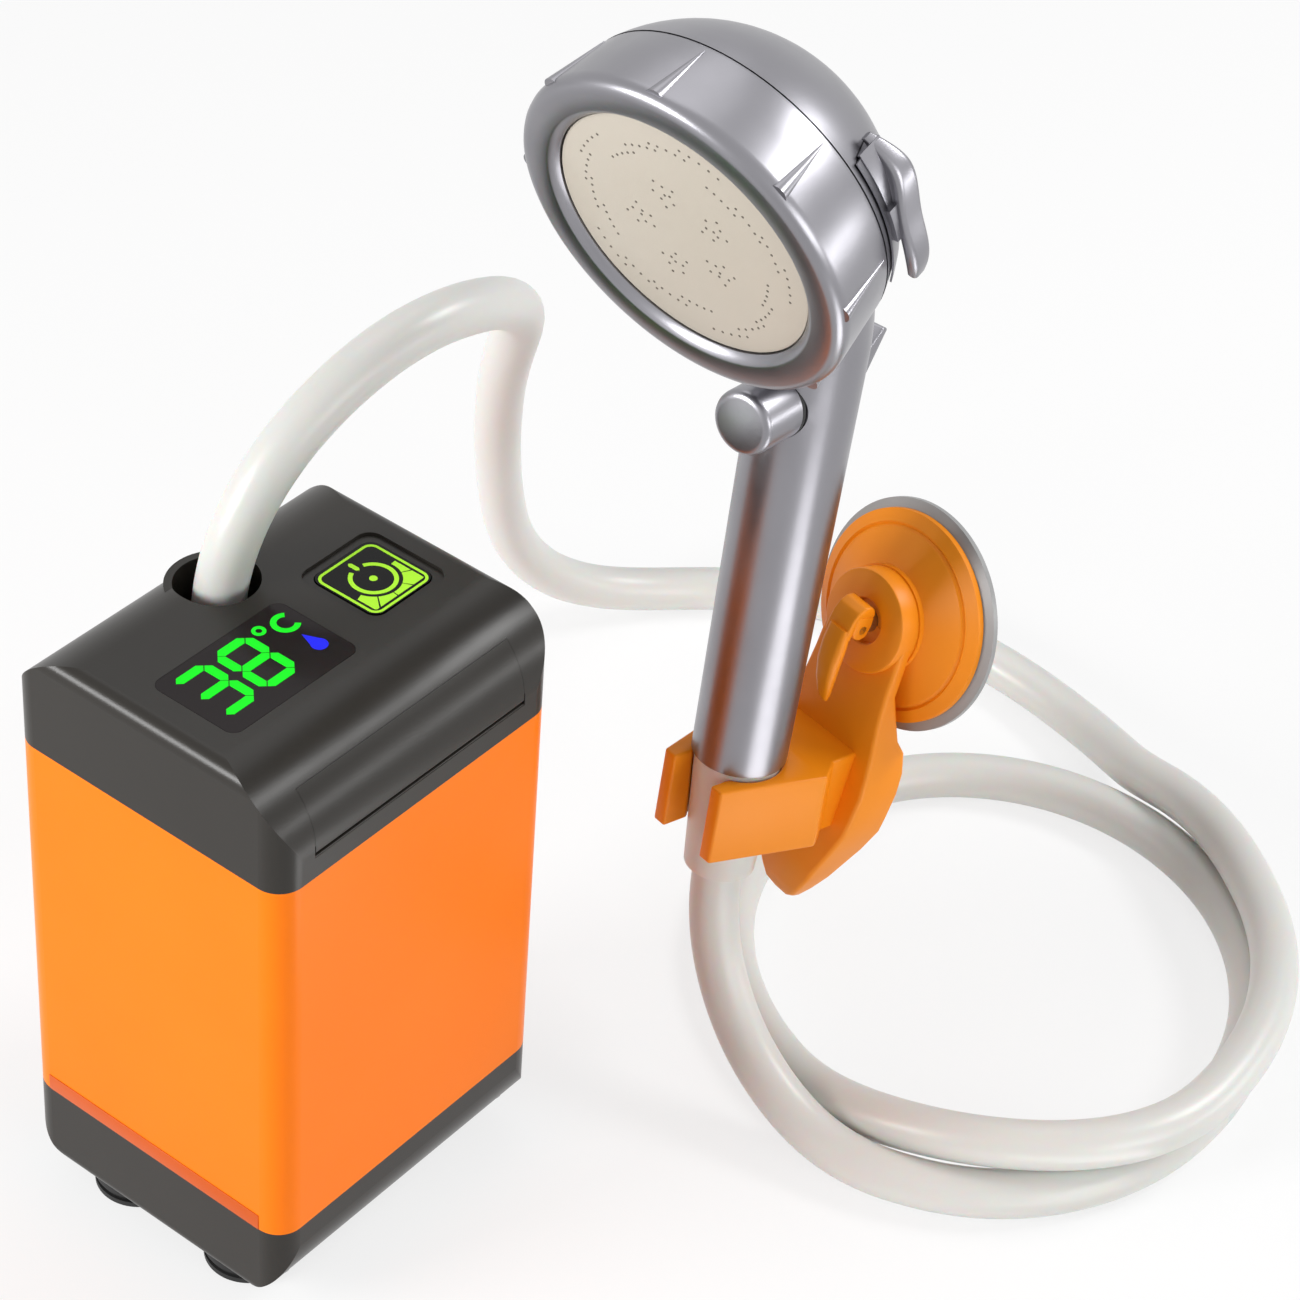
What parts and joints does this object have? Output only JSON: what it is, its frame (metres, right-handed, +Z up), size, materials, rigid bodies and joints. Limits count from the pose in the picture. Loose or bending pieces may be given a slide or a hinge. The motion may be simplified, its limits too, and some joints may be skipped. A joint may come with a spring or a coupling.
{
  "type": "camp shower pump set",
  "caption": "Battery camp shower: square standing pump with display and button, hose, hand shower with stop button and side lever, suction-cup holder.",
  "frame": {"origin": "on the floor under the middle of the pump, hand shower and holder, hose left out", "axes": "+Z up, -Y out of the pump's front face, +X from the pump towards the holder"},
  "size_m": [0.335, 0.2799, 0.3217],
  "materials": {
    "orange": "smooth moulded",
    "dark": "fine satin moulded",
    "black_rubber": "matt",
    "black_gloss": "polished",
    "white_plastic": "moulded",
    "hose": "soft satin, slightly clear",
    "silver": "satin plated",
    "plate": "pale satin plate",
    "cup_grey": "soft, slightly clear",
    "steel": "plain",
    "cell_metal": "sleeved cell and can",
    "circuit": "circuit board"
  },
  "bodies": {
    "pump": {"body_sleeve": "orange", "top_cover": "dark", "base_cap": "dark", "feet": "black_rubber", "cover_gasket": "black_rubber", "case_screws": "steel", "bulkhead": "white_plastic", "bulkhead_gasket": "black_rubber", "display_lens": "black_gloss", "display_board": "circuit", "button_switch": "black_gloss", "button_gasket": "black_rubber", "flap_pin": "steel", "charge_port": "steel", "charge_board": "circuit", "control_board": "circuit", "battery_cells": "cell_metal", "battery_holder": "black_gloss", "motor_can": "cell_metal", "shaft_seal": "black_rubber", "pump_chamber": "dark", "chamber_cover": "dark", "intake_filter": "white_plastic", "outlet_pipe": "white_plastic", "outlet_fitting": "dark", "temperature_probe": "steel", "hose_arch": "hose", "hose_loop": "hose", "hose_rise": "hose", "holder_arm": "orange", "cup_cover": "orange", "suction_cup": "cup_grey"},
    "rotor": {"motor_shaft": "steel", "impeller": "white_plastic"},
    "power_button": {"power_button": "black_gloss"},
    "charge_flap": {"charge_flap": "dark"},
    "shower": {"handset_body": "silver", "face_ring": "silver", "spray_plate": "plate", "face_gasket": "black_rubber", "distributor": "white_plastic", "hose_nut": "white_plastic", "hose_washer": "black_rubber", "inlet_screen": "steel"},
    "stop_button": {"stop_button": "silver", "stop_seals": "black_rubber"},
    "selector": {"selector_disc": "white_plastic", "selector_lever": "silver"},
    "cup_stem": {"cup_stem": "steel", "lever_pin": "steel"},
    "cam_lever": {"cam_lever": "orange"}
  },
  "joints": [
    {"name": "rotor_spin", "type": "hinge", "parent": "pump", "child": "rotor", "pos_m": [-0.058, 0.024, 0.03], "axis": [0, 0, 1], "continuous": true},
    {"name": "button_press", "type": "slide", "parent": "pump", "child": "power_button", "axis": [0, 0, -1], "range_m": [0, 0.0008], "stiffness_N_per_m": 2500, "springref_m": -0.0004},
    {"name": "flap_swing", "type": "hinge", "parent": "pump", "child": "charge_flap", "pos_m": [-0.058, -0.0111, 0.152], "axis": [1, 0, 0], "range_deg": [0, 95]},
    {"name": "shower_lift", "type": "slide", "parent": "pump", "child": "shower", "axis": [0.1219, 0, 0.9925], "range_m": [0, 0.035]},
    {"name": "stop_push", "type": "slide", "parent": "shower", "child": "stop_button", "axis": [0.9925, 0, -0.1219], "range_m": [0, 0.007]},
    {"name": "selector_turn", "type": "hinge", "parent": "shower", "child": "selector", "pos_m": [0.00297, -0.0288, 0.276], "axis": [0.9483, 0, 0.3173], "range_deg": [-15, 15]},
    {"name": "stem_pull", "type": "slide", "parent": "pump", "child": "cup_stem", "axis": [-0.9318, 0.2151, 0.2924], "range_m": [-0.00026, 0.0002]},
    {"name": "cam_turn", "type": "hinge", "parent": "cup_stem", "child": "cam_lever", "pos_m": [0.07552, -0.0389, 0.13211], "axis": [0.225, 0.9744, 0], "range_deg": [-10, 12]}
  ],
  "couplings": [
    {"joint": "cam_turn", "follows": "stem_pull", "rad_per_m": -666.67}
  ]
}
